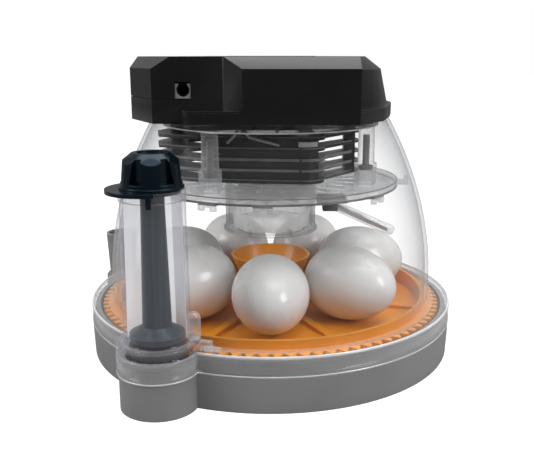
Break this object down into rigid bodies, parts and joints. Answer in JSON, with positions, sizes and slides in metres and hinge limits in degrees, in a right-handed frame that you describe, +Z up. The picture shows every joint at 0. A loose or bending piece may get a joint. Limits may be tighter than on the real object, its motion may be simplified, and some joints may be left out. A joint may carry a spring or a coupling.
{
  "type": "egg incubator",
  "caption": "Round tabletop egg incubator: grey base, toothed orange egg disk, clear dome with a hand-turned side column, black head with heater and fan.",
  "frame": {"origin": "centre of the base's underside, on the egg disk's axis", "axes": "+Z up along the disk's axis, -Y towards the front, where the power inlet faces and the turning column stands to the left"},
  "size_m": [0.231, 0.2331, 0.1759],
  "materials": {
    "base_grey": "satin",
    "tray_grey": "satin",
    "water_grey": "satin",
    "screw_steel": "satin",
    "dark_plastic": "satin",
    "disk_orange": "satin",
    "cup_orange": "satin",
    "eggshell": "satin",
    "dome_clear": "polished",
    "inner_clear": "polished",
    "head_black": "satin",
    "seal_rubber": "matt",
    "panel_black": "gloss",
    "window_green": "polished",
    "inlet_grey": "satin",
    "inlet_black": "satin",
    "board_green": "satin",
    "plate_black": "satin",
    "element_brown": "satin",
    "label_white": "matt",
    "wire_grey": "satin",
    "screw_dark": "satin",
    "sensor_metal": "satin",
    "knob_black": "satin",
    "shaft_slate": "satin",
    "pinion_grey": "satin",
    "fan_black": "satin",
    "button_grey": "matt"
  },
  "bodies": {
    "base": {"base_shell": "base_grey", "base_tray": "tray_grey", "water_tray": "water_grey", "water_pipe": "tray_grey", "water_filler": "base_grey", "base_screws": "screw_steel", "shaft_bush": "dark_plastic"},
    "egg_carrier": {"egg_disk": "disk_orange", "centre_cup": "cup_orange", "eggs": "eggshell"},
    "lid": {"dome": "dome_clear", "tube_collar": "inner_clear", "head_lower": "head_black", "head_cover": "head_black", "head_seal": "seal_rubber", "head_screws": "screw_steel", "display_frame": "panel_black", "display_window": "window_green", "inlet_surround": "inlet_grey", "power_inlet": "inlet_black", "circuit_board": "board_green", "carrier_plate": "inner_clear", "heater_plates": "plate_black", "heater_rod": "element_brown", "plate_label": "label_white", "ribbed_spacer": "inner_clear", "fan_motor": "dark_plastic", "fan_wires": "wire_grey", "heater_leads": "wire_grey", "carrier_screws": "screw_dark", "deck": "inner_clear", "deck_posts": "inner_clear", "deck_screws": "screw_dark", "air_duct": "inner_clear", "probe_bracket": "dark_plastic", "probe_tube": "inner_clear", "probe_sensor": "sensor_metal"},
    "turner": {"turning_knob": "knob_black", "turning_shaft": "shaft_slate", "drive_pinion": "pinion_grey"},
    "fan": {"fan_impeller": "fan_black"},
    "left_button": {"button_left": "button_grey"},
    "middle_button": {"button_middle": "button_grey"},
    "right_button": {"button_right": "button_grey"}
  },
  "joints": [
    {"name": "disk_turn", "type": "hinge", "parent": "base", "child": "egg_carrier", "pos_m": [0, 0, 0.022], "axis": [0, 0, 1], "continuous": true},
    {"name": "lid_lift", "type": "slide", "parent": "base", "child": "lid", "axis": [0, 0, 1], "range_m": [0, 0.16]},
    {"name": "knob_turn", "type": "hinge", "parent": "lid", "child": "turner", "pos_m": [-0.0575, -0.09959, 0.11], "axis": [0, 0, 1], "continuous": true},
    {"name": "fan_spin", "type": "hinge", "parent": "lid", "child": "fan", "pos_m": [0, 0, 0.09], "axis": [0, 0, 1], "continuous": true},
    {"name": "left_press", "type": "slide", "parent": "lid", "child": "left_button", "axis": [0, 0, -1], "range_m": [0, 0.001], "stiffness_N_per_m": 400, "springref_m": -0.001},
    {"name": "middle_press", "type": "slide", "parent": "lid", "child": "middle_button", "axis": [0, 0, -1], "range_m": [0, 0.001], "stiffness_N_per_m": 400, "springref_m": -0.001},
    {"name": "right_press", "type": "slide", "parent": "lid", "child": "right_button", "axis": [0, 0, -1], "range_m": [0, 0.001], "stiffness_N_per_m": 400, "springref_m": -0.001}
  ],
  "couplings": [
    {"joint": "knob_turn", "follows": "disk_turn", "ratio": -9}
  ]
}
